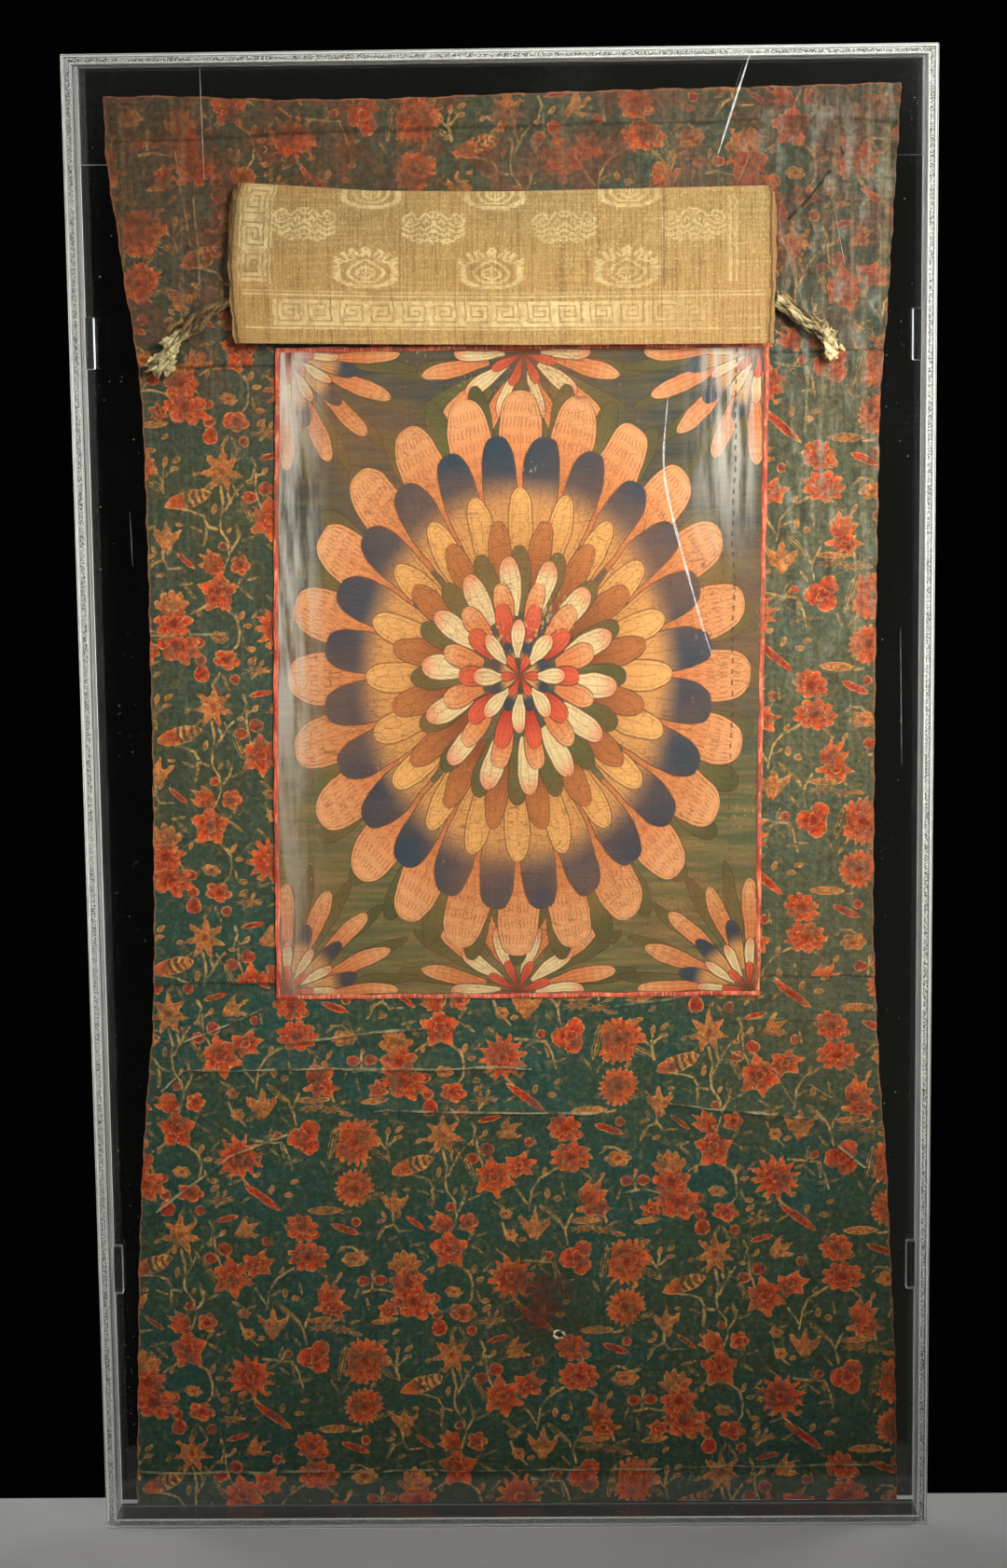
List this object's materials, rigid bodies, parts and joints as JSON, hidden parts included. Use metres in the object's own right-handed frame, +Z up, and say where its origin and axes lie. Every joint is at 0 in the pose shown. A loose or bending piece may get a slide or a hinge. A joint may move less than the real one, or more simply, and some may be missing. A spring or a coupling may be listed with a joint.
{
  "type": "thangka scroll painting in a clear acrylic display case",
  "caption": "Cloth scroll painting with a printed mount, narrow edging, folded damask veil and short twisted ties, hung inside a clear upright display case.",
  "frame": {"origin": "middle of the case's underside, half way between its front and back faces", "axes": "+Z up along the hanging, +X to the viewer's right, and the painted side faces -Y"},
  "size_m": [0.556, 0.04, 0.98],
  "materials": {
    "acrylic": "clear polished acrylic with scuffed cut edges",
    "printed_cotton": "thin plain-weave cotton, block-printed, worn",
    "painted_cloth": "sized cotton with matt paint, aged and crackled",
    "red_silk": "narrow silk edging, faded",
    "gold_damask": "soft silk damask, tone on tone",
    "tie_cloth": "twisted cloth strips, frayed"
  },
  "bodies": {
    "root": {"case_front": "acrylic", "case_back": "acrylic", "case_left": "acrylic", "case_right": "acrylic", "case_top": "acrylic", "case_bottom": "acrylic", "hanging_strip": "acrylic", "spacer_left_upper": "acrylic", "spacer_left_lower": "acrylic", "spacer_right_upper": "acrylic", "spacer_right_lower": "acrylic", "mount_top": "printed_cotton", "mount_left": "printed_cotton", "mount_right": "printed_cotton", "mount_bottom": "printed_cotton", "painting": "painted_cloth", "edging_top": "red_silk", "edging_bottom": "red_silk", "edging_left": "red_silk", "edging_right": "red_silk", "veil": "gold_damask", "tie_left": "tie_cloth", "tie_right": "tie_cloth"}
  },
  "joints": []
}
